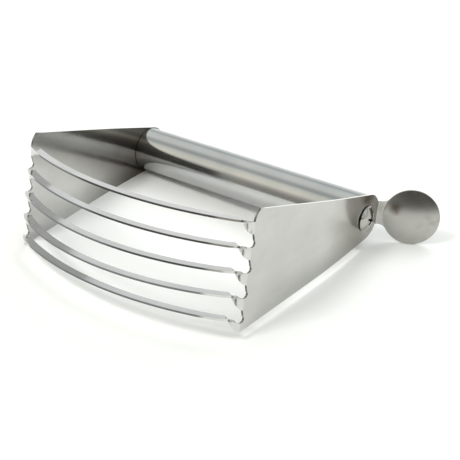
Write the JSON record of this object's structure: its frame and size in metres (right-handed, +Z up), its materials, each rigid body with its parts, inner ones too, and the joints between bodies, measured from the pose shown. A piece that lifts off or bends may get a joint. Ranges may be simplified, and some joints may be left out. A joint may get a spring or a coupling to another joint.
{
  "type": "pastry blender",
  "caption": "Stainless steel pastry blender lying on its side: a tube handle between two tapered side plates, curved blades twisted flat, and a round dished thumb rest.",
  "frame": {"origin": "on the table under the middle of the lying tool's box", "axes": "+X along the handle towards the thumb rest, -Y towards the blades, +Z up from the table"},
  "size_m": [0.1586, 0.1388, 0.055],
  "materials": {
    "handle_steel": "polished stainless tube",
    "plate_steel": "fine satin stainless sheet",
    "blade_steel": "satin stainless strip with bright sheared edges",
    "screw_steel": "bright plated steel",
    "plug_aluminium": "turned aluminium"
  },
  "bodies": {
    "root": {"blade_1": "blade_steel", "blade_2": "blade_steel", "blade_3": "blade_steel", "blade_4": "blade_steel", "blade_5": "blade_steel", "handle_tube": "handle_steel", "left_end_plug": "plug_aluminium", "left_end_screw": "screw_steel", "left_side_plate": "plate_steel", "right_end_plug": "plug_aluminium", "right_end_screw": "screw_steel", "right_side_plate": "plate_steel", "thumb_rest": "plate_steel"}
  },
  "joints": []
}
